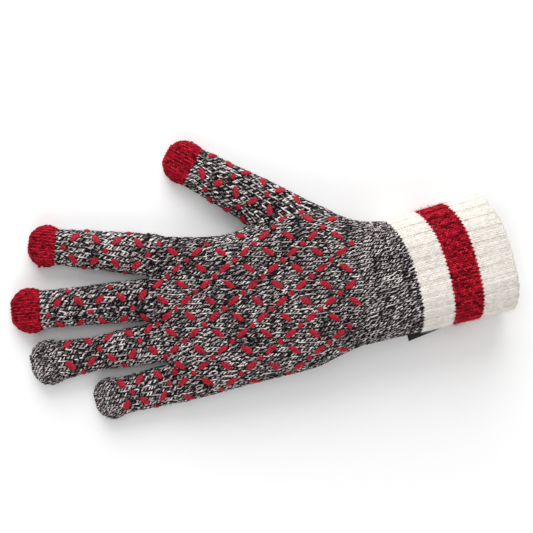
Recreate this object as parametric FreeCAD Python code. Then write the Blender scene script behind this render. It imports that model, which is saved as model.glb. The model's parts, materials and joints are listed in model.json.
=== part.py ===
import FreeCAD, Part
import math
import os

# Right-hand knitted touchscreen glove, lying on its back with the palm up.
#
# +X runs from the fingertips to the cuff, +Y to the thumb side, +Z out of the palm.
# The back of the glove rests on z = 0. Every knitted wall is a plain shell here.

V = FreeCAD.Vector

# driving dimensions, mm
WALL = 1.8
CUFF_WALL = 2.4
GAP = 0.15  # half the clearance left at a fold
FOLD_HALF_ANGLE = 47.0
PIVOT_Z = 10.5
FAR = 400.0
SUNK = 0.05  # outsides start this far below the rest plane and are cut off flat on it

# palm: (x, little-finger side y, thumb side y, thickness)
WEB = [(-60.5, -43.5, 24.0, 15.5), (-44.0, -44.5, 22.7, 18.0)]
PALM = [
    (-45.0, -65.3, 22.7, 18.0),
    (-33.0, -62.4, 22.7, 21.0),
    (-20.0, -59.2, 23.8, 24.0),
    (-8.0, -55.5, 29.5, 26.5),
    (15.0, -49.6, 36.0, 29.0),
    (28.7, -46.2, 38.0, 31.5),
    (38.0, -40.9, 33.5, 34.0),
    (51.0, -34.8, 30.9, 37.0),
]
WEB_EXTRA_WALL = 0.01
WRIST_START = PALM[-1][0]

# each digit: where its axis leaves the palm, its heading, the heading that its folds are square to,
# the places of the two folds and of the cap along the axis, its length, the cap's width, and
# (distance along the axis, width, thickness) stations. A little extra wall keeps the hollows'
# floors at different heights, so that no two of them are coplanar where they meet.
DIGITS = {
    "index": {
        "base": (-60.0, 13.2), "heading": 175.0, "fold_heading": 180.0,
        "folds": (8.0, 33.0), "cap": 51.0, "length": 66.3, "cap_width": 22.0,
        "stations": [(-16, 21, 17), (0, 22.5, 16), (10, 22.6, 15.5), (30, 21, 15), (51, 19.3, 13)],
        "print": (46.5, 0.0, 22.6, 12.0), "extra_wall": 0.02, "print_from": -2.0,
    },
    "middle": {
        "base": (-60.0, -10.5), "heading": 185.3, "fold_heading": 180.0,
        "folds": (8.0, 37.0), "cap": 59.0, "length": 75.6, "cap_width": 24.1,
        "stations": [(-16, 22, 17), (0, 22.8, 16), (14, 22.7, 15.5), (36, 20.8, 15), (59, 20.6, 13)],
        "print": (55.0, 3.4, 22.7, 12.5), "extra_wall": 0.04, "print_from": -2.0,
    },
    "ring": {
        "base": (-56.0, -33.0), "heading": 190.8, "fold_heading": 180.0,
        "folds": (12.0, 36.0), "cap": 54.0, "length": 69.5, "cap_width": 23.6,
        "stations": [(-12, 21, 17), (0, 21, 16), (16, 21, 15.5), (35, 18, 14.5), (54, 21.5, 12.5)],
        "print": (53.3, -2.4, 22.2, 12.0), "extra_wall": 0.06, "print_from": -4.0,
    },
    "little": {
        "base": (-45.0, -54.3), "heading": 194.0, "fold_heading": 180.0,
        "folds": (8.0, 24.0), "cap": 33.0, "length": 46.2, "cap_width": 21.9,
        "stations": [(-12, 21.5, 17), (0, 21.5, 15.5), (8, 21.3, 14.5), (26, 19.8, 14), (33, 20.3, 12.5)],
        "print": (24.9, -0.8, 20.0, 12.0), "extra_wall": 0.08, "print_from": -2.0,
    },
    "thumb": {
        "base": (-2.5, 41.0), "heading": 151.6, "fold_heading": 151.6,
        "folds": (9.0, 27.0), "cap": 40.0, "length": 56.5, "cap_width": 22.8,
        "stations": [(-42, 26, 25), (-20, 27, 24), (0, 26.5, 19), (9, 25, 17), (27, 23, 15.5), (40, 22, 13.5)],
        "print": (18.6, -5.4, 20.3, 12.9), "extra_wall": 0.1, "print_from": -26.0,
    },
}

# how a fingertip closes: (share of the cap's length, share of its width, thickness share)
CAP_PROFILE = [(0.2, 0.96, 0.97), (0.45, 1.0, 0.9), (0.7, 0.91, 0.76), (0.88, 0.7, 0.58), (1.0, 0.4, 0.4)]

# cuff
CUFF_BASE = (75.9, 2.6)
CUFF_HEADING = 15.2
CUFF_LENGTH = 50.4
CUFF_LEAN = 7.0  # the rows lean this far back towards the palm side
CUFF_WIDTHS = (61.4, 63.4)
CUFF_THICKNESS = 40.0
BANDS = [("cuff_band_inner", 0.0, 16.2), ("cuff_stripe", 16.2, 31.8), ("cuff_band_outer", 31.8, 49.2)]
EDGE_SPAN = (49.2, 51.0)
EDGE_RAISE = 0.5

# grip print on the palm: one dot of the lattice, and the two ways to the next dots
PRINT_START = (-6.1, -23.5)
PRINT_A = (10.3, 8.5)
PRINT_B = (14.9, -8.5)
DOT_RADIUS = 1.4
BAR_LENGTH = 7.0
BAR_WIDTH = 2.7
PRINT_SUNK = 0.6
PRINT_RAISED = 0.5
STEEPEST = 58.0  # the print stops where the surface leans more than this
HIDDEN = 0.9  # a pad is left out where another tube stands this much higher
CLOSEST_PADS = 4.5
PALM_PRINT = (-57.0, 48.5)

# side label, folded double and sewn along the cuff
LABEL_LENGTH = 19.0
LABEL_REACH = 6.4
LABEL_THICKNESS = 0.9
LABEL_START = -8.0
LABEL_Z = 10.0
STITCHES = 3
STITCHED_FROM = 9.0  # the label is sewn down from here to its end
STITCH_RADIUS = 0.35
LABEL_CLEAR = 1.4  # the free part starts this far from the cuff

# yarn knot at the index fingertip: along the cap, across it and up
KNOT_RADIUS = 1.1
KNOT_PLACE = (8.6, 11.2, 5.0)


def place(shape, base, heading):
    """Move a shape from a local frame that runs along +X to its place in the glove."""
    moved = shape.copy()
    moved.Placement = FreeCAD.Placement(V(base[0], base[1], 0), FreeCAD.Rotation(V(0, 0, 1), heading))
    return moved


def stadium(x, low, high, bottom, top):
    """Upright section with round sides, square to X."""
    r = min((top - bottom) / 2, (high - low) / 2 - 0.01)
    a, b = low + r, high - r
    mid = bottom + r
    edges = [
        Part.LineSegment(V(x, a, bottom), V(x, b, bottom)).toShape(),
        Part.Arc(V(x, b, bottom), V(x, high, mid), V(x, b, top)).toShape(),
        Part.LineSegment(V(x, b, top), V(x, a, top)).toShape(),
        Part.Arc(V(x, a, top), V(x, low, mid), V(x, a, bottom)).toShape(),
    ]
    return Part.Wire(edges)


def tube(sections, inset, start=None, end=None):
    """Solid through sections (x, low, high, thickness), shrunk by inset on every side.

    An outside, with no inset, reaches a little below the rest plane.
    """
    rows = [list(s) for s in sections]
    if start is not None:
        rows[0][0] = start
    if end is not None:
        rows[-1][0] = end
    bottom = inset if inset > 0 else -SUNK
    wires = [stadium(x, a + inset, b - inset, bottom, t - inset) for x, a, b, t in rows]
    return Part.makeLoft(wires, True, True)


def digit_sections(d):
    """Stations of a digit from inside the palm to the closed tip, in its own frame."""
    rows = [(s, -w / 2, w / 2, t) for s, w, t in d["stations"]]
    thick = d["stations"][-1][2]
    span = d["length"] - d["cap"]
    for share, wide, deep in CAP_PROFILE:
        w = d["cap_width"] * wide
        rows.append((d["cap"] + share * span, -w / 2, w / 2, thick * deep))
    return rows


def digit_solids(d):
    """The outside and the hollow of one digit, placed in the glove."""
    rows = digit_sections(d)
    outside = tube(rows, 0.0)
    hollow = tube(rows[:-1], WALL + d["extra_wall"], start=rows[0][0] - 1.0)
    return place(outside, d["base"], d["heading"]), place(hollow, d["base"], d["heading"])


def along(d, s):
    """Point on a digit's axis."""
    a = math.radians(d["heading"])
    return d["base"][0] + s * math.cos(a), d["base"][1] + s * math.sin(a)


def prism(outline, base, heading, reach=40.0):
    """Solid from an (x, z) outline, drawn out to both sides of the digit."""
    points = [V(x, -reach, z) for x, z in outline]
    face = Part.Face(Part.makePolygon(points + points[:1]))
    return place(face.extrude(V(0, 2 * reach, 0)), base, heading)


def beyond_fold(d, s, side):
    """Everything on one side of a fold: side 1 is towards the tip, side -1 towards the palm."""
    high = 60.0
    spread = high * math.tan(math.radians(FOLD_HALF_ANGLE))
    outline = [
        (GAP, -5.0),
        (GAP, PIVOT_Z),
        (GAP + spread, PIVOT_Z + high),
        (FAR, PIVOT_Z + high),
        (FAR, -5.0),
    ]
    return prism([(side * x, z) for x, z in outline], along(d, s), d["fold_heading"])


def gusset_region(d, s):
    """The wedge over a fold, on the palm side, that closes as the digit bends."""
    low, high = 0.6, 30.0
    lean = math.tan(math.radians(FOLD_HALF_ANGLE))
    a, b = low * lean - GAP, high * lean - GAP
    outline = [(-a, PIVOT_Z + low), (a, PIVOT_Z + low), (b, PIVOT_Z + high), (-b, PIVOT_Z + high)]
    return prism(outline, along(d, s), d["fold_heading"])


def half_space(x, base, heading, lean=0.0):
    """Everything beyond a plane that crosses an axis at x and leans back by lean degrees."""
    box = Part.makeBox(FAR, FAR, FAR, V(0, -FAR / 2, -FAR / 2))
    box.rotate(V(0, 0, 0), V(0, 1, 0), lean)
    box.translate(V(x, 0, CUFF_THICKNESS / 2))
    return place_copy(box, base, heading)


def place_copy(shape, base, heading):
    """Turn and move a shape that already has a placement of its own."""
    moved = shape.copy()
    moved.rotate(V(0, 0, 0), V(0, 0, 1), heading)
    moved.translate(V(base[0], base[1], 0))
    return moved


def between(rows, x):
    """Values of a station list at x, on the straight lines between stations."""
    x = min(max(x, rows[0][0]), rows[-1][0])
    for a, b in zip(rows, rows[1:]):
        if x <= b[0]:
            share = (x - a[0]) / (b[0] - a[0])
            return [p + share * (q - p) for p, q in zip(a[1:], b[1:])]
    return list(rows[-1][1:])


def wrapped(low, high, thick, across):
    """Where a walk of length across, from the middle of the palm side, ends: y, z and lean."""
    r = thick / 2
    flat = (high - low) / 2 - r
    middle = (low + high) / 2
    if abs(across) <= flat:
        return middle + across, thick, 0.0
    side = math.copysign(1.0, across)
    angle = (abs(across) - flat) / r
    return middle + side * (flat + r * math.sin(angle)), r + r * math.cos(angle), side * angle


def dot():
    """Round grip pad, centred on the surface."""
    return Part.makeCylinder(DOT_RADIUS, PRINT_SUNK + PRINT_RAISED, V(0, 0, -PRINT_SUNK))


def bar():
    """Leaf-shaped grip pad, centred on the surface, long along X."""
    ends = V(-BAR_LENGTH / 2, 0, -PRINT_SUNK), V(BAR_LENGTH / 2, 0, -PRINT_SUNK)
    upper = Part.Arc(ends[0], V(0, BAR_WIDTH / 2, -PRINT_SUNK), ends[1]).toShape()
    lower = Part.Arc(ends[1], V(0, -BAR_WIDTH / 2, -PRINT_SUNK), ends[0]).toShape()
    return Part.Face(Part.Wire([upper, lower])).extrude(V(0, 0, PRINT_SUNK + PRINT_RAISED))


def pad(shape, point, turn, lean):
    """Turn a pad in its plane, lean it about X to lie on the surface and move it there."""
    moved = shape.copy()
    moved.rotate(V(0, 0, 0), V(0, 0, 1), turn)
    moved.rotate(V(0, 0, 0), V(1, 0, 0), -math.degrees(lean))
    moved.translate(point)
    return moved


def lattice(start, a, b, reach):
    """Dots and bars of the print: (x, y, turn or None for a dot)."""
    marks = []
    for i in range(-reach, reach + 1):
        for j in range(-reach, reach + 1):
            x = start[0] + i * a[0] + j * b[0]
            y = start[1] + i * a[1] + j * b[1]
            marks.append((x, y, None))
            for step in (a, b):
                turn = math.degrees(math.atan2(step[1], step[0]))
                marks.append((x + step[0] / 2, y + step[1] / 2, turn))
    return marks


def top_height(rows, x, y):
    """Height of the palm side of a tube at a point of its own frame, or 0 beside it."""
    if not rows[0][0] <= x <= rows[-1][0]:
        return 0.0
    low, high, thick = between(rows, x)
    r = thick / 2
    outward = abs(y - (low + high) / 2) - ((high - low) / 2 - r)
    if outward > r:
        return 0.0
    return thick if outward <= 0 else r + math.sqrt(r * r - outward * outward)


def into_frame(d, x, y):
    """A point of the glove in a digit's own frame."""
    a = math.radians(d["heading"])
    dx, dy = x - d["base"][0], y - d["base"][1]
    return dx * math.cos(a) + dy * math.sin(a), dy * math.cos(a) - dx * math.sin(a)


def add_pad(marks, rows, base, heading, mark):
    """Lay one pad on a tube's palm side, unless it is too steep, hidden or on top of another."""
    s, c, turn = mark
    low, high, thick = between(rows, s)
    y, z, lean = wrapped(low, high, thick, c)
    if abs(lean) > math.radians(STEEPEST):
        return
    shape = place_copy(pad(dot() if turn is None else bar(), V(s, y, z), turn or 0.0, lean), base, heading)
    at = shape.CenterOfMass
    others = [(PALM, at.x, at.y), (WEB, at.x, at.y)]
    others += [(digit_sections(d), *into_frame(d, at.x, at.y)) for d in DIGITS.values()]
    if any(top_height(*other) > at.z + HIDDEN for other in others):
        return
    if any((at - other.CenterOfMass).Length < CLOSEST_PADS for other, _ in marks):
        return
    marks.append((shape, turn is None))


def grip_print():
    """Every grip pad of the glove, as (shape, whether it is a dot)."""
    marks = []
    for x, y, turn in lattice(PRINT_START, PRINT_A, PRINT_B, 12):
        if PALM_PRINT[0] < x < PALM_PRINT[1]:
            rows = PALM if x > PALM[0][0] else WEB
            low, high = between(rows, x)[:2]
            middle = (low + high) / 2
            before = [(r[0], r[1] - middle, r[2] - middle, r[3]) for r in rows]
            add_pad(marks, before, (0.0, middle), 0.0, (x, y - middle, turn))
    for d in DIGITS.values():
        start, offset, pitch, rise = d["print"]
        for s, c, turn in lattice((start, offset), (pitch / 2, rise), (pitch / 2, -rise), 6):
            if d["print_from"] < s < d["cap"] - 2.0:
                add_pad(marks, digit_sections(d), d["base"], d["heading"], (s, c, turn))
    return marks


def on_floor(shape):
    """A shape without what lies below the rest plane."""
    return shape.cut(Part.makeBox(2 * FAR, 2 * FAR, FAR, V(-FAR, -FAR, -FAR)))


def wholly_in(shape, region):
    return shape.common(region).Volume > 0.999 * shape.Volume


def cuff_tube(inset, raise_by=0.0):
    """Outside (inset 0) or hollow of the cuff, longer than the cuff at both ends."""
    rows = []
    for s, w in ((-20.0, CUFF_WIDTHS[0]), (CUFF_LENGTH + 20.0, CUFF_WIDTHS[1])):
        rows.append(stadium(s, -w / 2 + inset, w / 2 - inset, inset, CUFF_THICKNESS + raise_by - inset))
    return place(Part.makeLoft(rows, True, True), CUFF_BASE, CUFF_HEADING)


def slice_cuff(shape, first, last):
    """The stretch of a cuff tube between two leaning planes."""
    kept = shape.common(half_space(first, CUFF_BASE, CUFF_HEADING, CUFF_LEAN))
    return kept.cut(half_space(last, CUFF_BASE, CUFF_HEADING, CUFF_LEAN))


def wrist_tube(inset):
    """The knit between the palm and the cuff, as one loft."""
    x, low, high, thick = PALM[-1]
    near = stadium(x, low + inset, high - inset, inset, thick - inset)
    w = CUFF_WIDTHS[0]
    far = stadium(0.0, -w / 2 + inset, w / 2 - inset, inset, CUFF_THICKNESS - inset)
    far.rotate(V(0, 0, CUFF_THICKNESS / 2), V(0, 1, 0), CUFF_LEAN)
    far.translate(V(-2 * GAP, 0, 0))
    far = place_copy(far, CUFF_BASE, CUFF_HEADING)
    return Part.makeLoft([near, far], True, True)


def label_frame(shape):
    """Move a piece from beside the cuff's little-finger side, at the label's height, to its place."""
    r = CUFF_THICKNESS / 2
    inset = r - math.sqrt(r * r - (r - LABEL_Z) ** 2)
    moved = shape.copy()
    moved.translate(V(LABEL_START, inset - CUFF_WIDTHS[0] / 2, LABEL_Z))
    return place_copy(moved, CUFF_BASE, CUFF_HEADING)


def label_tab():
    """The free part of the folded label: two layers that meet in a round fold."""
    t, reach = LABEL_THICKNESS, LABEL_REACH
    outline = Part.Wire([
        Part.LineSegment(V(0, -LABEL_CLEAR, -t / 2), V(0, -reach + t / 2, -t / 2)).toShape(),
        Part.Arc(V(0, -reach + t / 2, -t / 2), V(0, -reach, 0), V(0, -reach + t / 2, t / 2)).toShape(),
        Part.LineSegment(V(0, -reach + t / 2, t / 2), V(0, -LABEL_CLEAR, t / 2)).toShape(),
        Part.LineSegment(V(0, -LABEL_CLEAR, t / 2), V(0, -LABEL_CLEAR, -t / 2)).toShape(),
    ])
    return label_frame(Part.Face(outline).extrude(V(LABEL_LENGTH, 0, 0)))


def label_stitches():
    """Short thread stitches that run through the cuff's wall where the label is sewn in."""
    pitch = (LABEL_LENGTH - STITCHED_FROM) / STITCHES
    stitches = []
    for i in range(STITCHES):
        start = V(STITCHED_FROM + (i + 0.25) * pitch, -STITCH_RADIUS * 0.5, 0)
        stitches.append(label_frame(Part.makeCylinder(STITCH_RADIUS, pitch / 2, start, V(1, 0, 0))))
    return Part.Compound(stitches)


def tip_knot():
    """The yarn tail knotted at the corner of the index fingertip."""
    d = DIGITS["index"]
    ball = Part.makeSphere(KNOT_RADIUS, V(d["cap"] + KNOT_PLACE[0], KNOT_PLACE[1], KNOT_PLACE[2]))
    cap = digit_solids(d)[0]
    return place_copy(ball, d["base"], d["heading"]).cut(cap)


def solids_of(shape):
    """The one solid of a boolean result, or its largest pieces as a compound."""
    pieces = [s for s in shape.Solids if s.Volume > 1.0]
    return pieces[0] if len(pieces) == 1 else Part.Compound(pieces)


def joined(shapes):
    """Fuse one after another, because the outsides share the rest plane."""
    whole = shapes[0]
    for shape in shapes[1:]:
        whole = whole.fuse(shape)
    return whole


def save(name, shape):
    shape.exportStep(os.path.join("parts", name + ".step"))
    print(name, len(shape.Solids), round(shape.Volume, 1), shape.isValid())


def save_grips():
    """Sort the print onto the palm and each digit's stiff parts and folds, and save it."""
    held = {"palm_grip_dots": [], "palm_grip_bars": []}
    for shape, is_dot in grip_print():
        at = shape.CenterOfMass
        name, d = nearest_digit(at)
        node = "palm_grip_dots" if is_dot else "palm_grip_bars"
        if name:
            root, middle = d["folds"]
            s = into_frame(d, at.x, at.y)[0]
            base_region = beyond_fold(d, root, 1).common(beyond_fold(d, middle, -1))
            if s < root and wholly_in(shape, beyond_fold(d, root, -1)):
                pass
            elif root < s < middle and wholly_in(shape, base_region):
                node = name + "_base_grips"
            elif s > middle and wholly_in(shape, beyond_fold(d, middle, 1)):
                node = name + "_end_grips"
            else:
                node = name + ("_root_fold_grips" if s < (root + middle) / 2 else "_middle_fold_grips")
                shape = shape.cut(digit_solids(d)[0])
        held.setdefault(node, []).append(shape)
    for node, shapes in held.items():
        save(node, Part.Compound(shapes))


def nearest_digit(point):
    """The digit whose stretch beyond the palm holds a point, or (None, None)."""
    for name, d in DIGITS.items():
        s, across = into_frame(d, point.x, point.y)
        if s > -2.0 and abs(across) < d["cap_width"] / 2 + 1.5:
            return name, d
    return None, None


def main():
    os.makedirs("parts", exist_ok=True)
    outsides = [tube(WEB, 0.0), tube(PALM, 0.0)]
    hollows = [
        tube(WEB, WALL + WEB_EXTRA_WALL, start=WEB[0][0] + WALL, end=WEB[-1][0] + 3.0),
        tube(PALM, WALL, start=PALM[0][0] + WALL, end=WRIST_START + 1.0),
    ]
    for name, d in DIGITS.items():
        outside, hollow = digit_solids(d)
        shell = on_floor(outside).cut(hollow)
        root, middle = d["folds"]
        outsides.append(outside.common(beyond_fold(d, root, -1)))
        hollows.append(hollow.common(beyond_fold(d, root + 8.0, -1)))
        past_root = shell.common(beyond_fold(d, root, 1))
        past_middle = shell.common(beyond_fold(d, middle, 1))
        cap_side = half_space(d["cap"], d["base"], d["heading"])
        save(name + "_base", solids_of(past_root.common(beyond_fold(d, middle, -1))))
        save(name + "_end", solids_of(past_middle.cut(cap_side)))
        save(name + "_cap", solids_of(past_middle.common(cap_side)))
        save(name + "_root_fold", solids_of(shell.common(gusset_region(d, root))))
        save(name + "_middle_fold", solids_of(shell.common(gusset_region(d, middle))))
    save("palm", solids_of(on_floor(joined(outsides)).cut(joined(hollows))))
    save_grips()
    cuff = cuff_tube(0.0).cut(cuff_tube(CUFF_WALL))
    for name, first, last in BANDS:
        save(name, solids_of(slice_cuff(cuff, first, last)))
    rim = on_floor(cuff_tube(-EDGE_RAISE).cut(cuff_tube(CUFF_WALL)))
    save("cuff_edge", solids_of(slice_cuff(rim, *EDGE_SPAN)))
    save("wrist", solids_of(wrist_tube(0.0).cut(wrist_tube(WALL))))
    save("label_tab", label_tab())
    save("label_stitches", label_stitches())
    save("index_cap_knot", solids_of(tip_knot()))


main()
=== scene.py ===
import json
import math

import bpy
import numpy as np
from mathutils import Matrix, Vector


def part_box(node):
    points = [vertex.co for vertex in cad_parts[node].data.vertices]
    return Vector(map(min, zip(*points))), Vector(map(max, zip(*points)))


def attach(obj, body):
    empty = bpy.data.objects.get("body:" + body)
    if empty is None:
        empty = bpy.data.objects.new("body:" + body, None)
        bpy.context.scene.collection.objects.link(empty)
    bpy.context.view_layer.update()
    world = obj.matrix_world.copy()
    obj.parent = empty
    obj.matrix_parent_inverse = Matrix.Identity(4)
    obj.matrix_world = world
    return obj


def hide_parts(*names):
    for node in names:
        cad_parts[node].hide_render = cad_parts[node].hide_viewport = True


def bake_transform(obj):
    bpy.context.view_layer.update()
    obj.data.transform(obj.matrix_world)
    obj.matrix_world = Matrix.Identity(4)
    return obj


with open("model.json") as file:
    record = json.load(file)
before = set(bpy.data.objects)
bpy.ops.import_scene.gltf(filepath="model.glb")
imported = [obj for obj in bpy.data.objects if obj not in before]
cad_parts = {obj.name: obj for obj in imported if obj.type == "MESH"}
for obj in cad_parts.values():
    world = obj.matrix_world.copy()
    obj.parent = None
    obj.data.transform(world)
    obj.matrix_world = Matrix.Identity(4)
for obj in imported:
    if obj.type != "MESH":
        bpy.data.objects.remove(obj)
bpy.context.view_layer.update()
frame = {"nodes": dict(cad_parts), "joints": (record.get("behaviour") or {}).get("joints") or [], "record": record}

# Right-hand knitted touchscreen glove: yarn stitches laid on smooth tubes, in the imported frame.
#
# Every knitted surface is a tube with a stadium section. A stitch is two short yarn legs that make a V
# pointing to the fingertips. Lengths in the tables are millimetres.

MM = 0.001

# ---------------------------------------------------------------- the glove's shape
FLOOR_CLEAR = 0.15  # the knit's back starts this far above the rest plane
LOWEST = 0.02  # no point of any piece lies lower than this
WALL = 1.8
PALM = [
    (-46.0, -65.3, 22.9, 18.0), (-33.0, -62.6, 22.7, 21.0), (-20.0, -59.2, 23.8, 24.0),
    (-8.0, -55.5, 28.5, 26.5), (15.0, -49.8, 36.0, 29.0), (28.7, -46.2, 37.0, 31.5),
    (38.0, -40.9, 33.5, 34.0), (51.0, -34.8, 30.9, 37.0),
]
PALM_START, PALM_END = -45.0, 51.0
WEB = [(-61.5, -43.5, 24.0, 15.0), (-52.0, -44.2, 23.2, 16.6), (-43.0, -46.0, 22.8, 18.4)]
DIGITS = {
    "index": {
        "base": (-60.0, 13.2), "heading": 175.0, "folds": (8.0, 33.0), "cap": 51.0, "length": 66.3,
        "cap_width": 22.4, "print": (46.5, 0.0, 22.6, 12.0), "start": -3.0, "print_from": -2.0,
        "stations": [(-16, 21, 17), (0, 22.5, 16), (10, 22.6, 15.5), (30, 21, 15), (51, 19.3, 13)],
    },
    "middle": {
        "base": (-60.0, -10.5), "heading": 185.3, "folds": (8.0, 37.0), "cap": 59.0, "length": 75.6,
        "cap_width": 24.3, "print": (55.0, 3.4, 22.7, 12.5), "start": -3.0, "print_from": -2.0,
        "stations": [(-16, 22, 17), (0, 22.8, 16), (14, 22.7, 15.5), (36, 20.8, 15), (59, 20.6, 13)],
    },
    "ring": {
        "base": (-56.0, -33.0), "heading": 190.8, "folds": (12.0, 36.0), "cap": 54.0, "length": 69.5,
        "cap_width": 23.9, "print": (53.3, -2.4, 22.2, 12.0), "start": 2.0, "print_from": -4.0,
        "stations": [(-12, 21, 17), (0, 21, 16), (16, 21, 15.5), (35, 18, 14.5), (54, 21.5, 12.5)],
    },
    "little": {
        "base": (-45.0, -54.3), "heading": 194.0, "folds": (8.0, 24.0), "cap": 33.0, "length": 46.2,
        "cap_width": 22.2, "print": (24.9, -0.8, 20.0, 12.0), "start": -3.0, "print_from": -2.0,
        "stations": [(-12, 21.5, 17), (0, 21.5, 15.5), (8, 21.3, 14.5), (26, 19.8, 14), (33, 20.3, 12.5)],
    },
    "thumb": {
        "base": (-2.5, 41.0), "heading": 151.6, "folds": (9.0, 27.0), "cap": 40.0, "length": 56.5,
        "cap_width": 23.2, "print": (18.6, -5.4, 20.3, 12.9), "start": -42.0, "print_from": -26.0,
        "stations": [
            (-42, 26, 25), (-20, 27, 24), (0, 26.5, 19), (9, 25, 17), (27, 23, 15.5), (40, 22, 13.5),
        ],
    },
}
CAP_PROFILE = [
    (0.12, 0.96, 0.98), (0.32, 1.0, 0.94), (0.52, 0.97, 0.87), (0.70, 0.87, 0.77),
    (0.83, 0.73, 0.67), (0.93, 0.55, 0.56), (1.0, 0.34, 0.42),
]
CUFF_BASE = (75.9, 2.6)
CUFF_HEADING = 15.2
CUFF_LEAN = math.tan(math.radians(7.0))
CUFF_END = 49.6
STRIPE = (16.2, 31.8)
CUFF_MIDDLE_Z = 20.0
CUFF_WALL = 2.4
CUFF_STATIONS = [
    (-3.0, -30.4, 30.4, 39.6), (8.0, -31.0, 31.0, 40.2), (30.0, -31.8, 31.8, 40.4), (54.0, -31.6, 31.6, 40.0),
]
CUFF_BOW = (5.0, 1.6)  # how far its rows curve towards the palm, at the thumb side and at the other
PRINT_START = (-6.1, -23.5)
PRINT_A = (10.3, 8.5)
PRINT_B = (14.9, -8.5)
PALM_PRINT = (-57.0, 48.5)
STEEPEST = math.radians(76.0)
CLOSEST_PADS = 4.5
DOT_RADIUS = 1.45
PALM_PAD = (7.0, 3.0)  # length and width of a leaf
DIGIT_PAD = (6.3, 3.3)
PAD_RINGS = (  # share of the outline, and height
    (1.0, -0.5), (1.0, 0.22), (0.93, 0.44), (0.78, 0.60), (0.5, 0.66), (0.2, 0.66), (0.01, 0.66),
)

# ---------------------------------------------------------------- the knit
COURSE = {"palm": 1.86, "digit": 1.66, "cuff": 1.5, "cap": 1.3}
WALE = 2.5  # on the palm
PALM_LINE = -1.95  # the wale that runs straight along the palm lies at this y
PALM_WALES = 80
WALES = {"index": 21, "middle": 21, "ring": 20, "little": 20, "thumb": 24}
CUFF_WALES = 80
RINGS = 6
LEG_T = np.linspace(0, 1, RINGS)
LEG_ACROSS = 0.02 + 0.46 * LEG_T
LEG_ALONG = 0.74 - 1.46 * LEG_T
LEG_LIFT = -0.38 + 0.42 * np.sin(math.pi * (0.08 + 0.84 * LEG_T))
LEG_THICK = np.array([0.55, 0.95, 1.0, 1.0, 0.95, 0.55])
PLY_RADIUS = 0.143  # shares of the wale spacing
PLY_OFFSET = 0.130
TWIST = 3.7  # length of one turn of the two plies at a wale spacing of 2.5
SIDES = 5
BACK_DEPTH = 1.5  # the closed layer lies this far below the marl yarn
LINING_DEPTH = WALL + 0.6
CAP_WALE = {"red": 1.76, "marl": 2.0}  # stitch columns of the fingertips
CAP_YARN = 0.165  # yarn radii as shares of the wale spacing
STRIPE_YARN = 0.20
CREAM_YARN = 0.275
PALE_FIBRES = [2, 3, 4]  # shades of the marl that its loose fibres take
FIBRE_OUTWARD = 0.35
FIBRE_RADII = np.array([0.035, 0.03, 0.025, 0.012])
FIBRE_LENGTH = {"marl": 1.1, "cap": 0.9, "cuff": 1.4, "edge": 1.3}


class Tube:
    """A tube along a straight axis, with stadium sections that change smoothly."""

    def __init__(
        self, stations, base=(0.0, 0.0), heading=0.0, lean=0.0, smooth=4.0, crown=0.0, bow=(0.0, 0.0)
    ):
        rows = np.array(stations, float)
        self.first, self.last = rows[0, 0], rows[-1, 0]
        self.grid = np.arange(self.first, self.last + 0.25, 0.25)
        self.values = []
        window = max(int(smooth / 0.25), 1)
        for column in (1, 2, 3):
            line = np.interp(self.grid, rows[:, 0], rows[:, column])
            for _ in range(2):
                slope_a, slope_b = line[1] - line[0], line[-1] - line[-2]
                head = line[0] - slope_a * np.arange(window, 0, -1)
                tail = line[-1] + slope_b * np.arange(1, window + 1)
                padded = np.concatenate([head, line, tail])
                smoothed = np.convolve(padded, np.ones(window) / window, "same")
                line = smoothed[window:-window]
            self.values.append(line)
        self.base = np.array(base, float)
        a = math.radians(heading)
        self.turn = np.array([[math.cos(a), -math.sin(a)], [math.sin(a), math.cos(a)]])
        self.lean = lean
        self.crown = crown
        self.bow = bow

    def section(self, s):
        """Middle, half width, flat half width and side radius at s."""
        low, high, thick = (np.interp(s, self.grid, v) for v in self.values)
        half = (high - low) / 2
        r = np.minimum((thick - FLOOR_CLEAR) / 2, half - 0.01)
        return (low + high) / 2, half, half - r, r

    def around(self, s):
        """Length once around the tube at s."""
        _, _, flat, r = self.section(s)
        return 4 * flat + 2 * math.pi * r

    def point(self, s, c, lift):
        """Places on the tube at s along, c around from the middle of the palm side, raised by lift."""
        s, c, lift = np.broadcast_arrays(s, c, lift)
        middle, half, flat, r = self.section(s)
        a = np.abs(c)
        side = np.sign(c)
        angle = np.clip((a - flat) / r, 0, math.pi)
        rounded = np.where(angle < math.pi, flat + r * np.sin(angle), 2 * flat + math.pi * r - a)
        out = np.where(a <= flat, a, rounded)
        up = FLOOR_CLEAR + r + r * np.cos(angle)
        up = up + self.crown * (1 + np.cos(angle)) / 2 * (1 - np.clip(out / half, 0, 1) ** 2)
        ny, nz = side * np.sin(angle), np.cos(angle)
        y = middle + side * out + lift * ny
        z = up + lift * nz
        off = side * out / half
        fade = np.where(angle > math.pi / 2, np.sin(angle), 1.0)  # no bow on the back
        along = s + self.lean * (z - CUFF_MIDDLE_Z) - np.where(off > 0, *self.bow) * off**2 * fade
        xy = np.stack([along, y], -1) @ self.turn.T + self.base
        n = np.stack([np.zeros_like(ny), ny], -1) @ self.turn.T
        return np.concatenate([xy, z[..., None]], -1), np.concatenate([n, nz[..., None]], -1)

    def local(self, p):
        """Places in the tube's own frame."""
        xy = (p[..., :2] - self.base) @ self.turn
        return xy[..., 0], xy[..., 1], p[..., 2]

    def depth(self, p):
        """How far places lie outside the tube, negative inside."""
        s, y, z = self.local(p)
        middle, _, flat, r = self.section(s)
        q = np.maximum(np.abs(y - middle) - flat, 0)
        d = np.hypot(q, z - FLOOR_CLEAR - r) - r
        return np.maximum(np.maximum(d, self.first - s), s - self.last)


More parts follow.
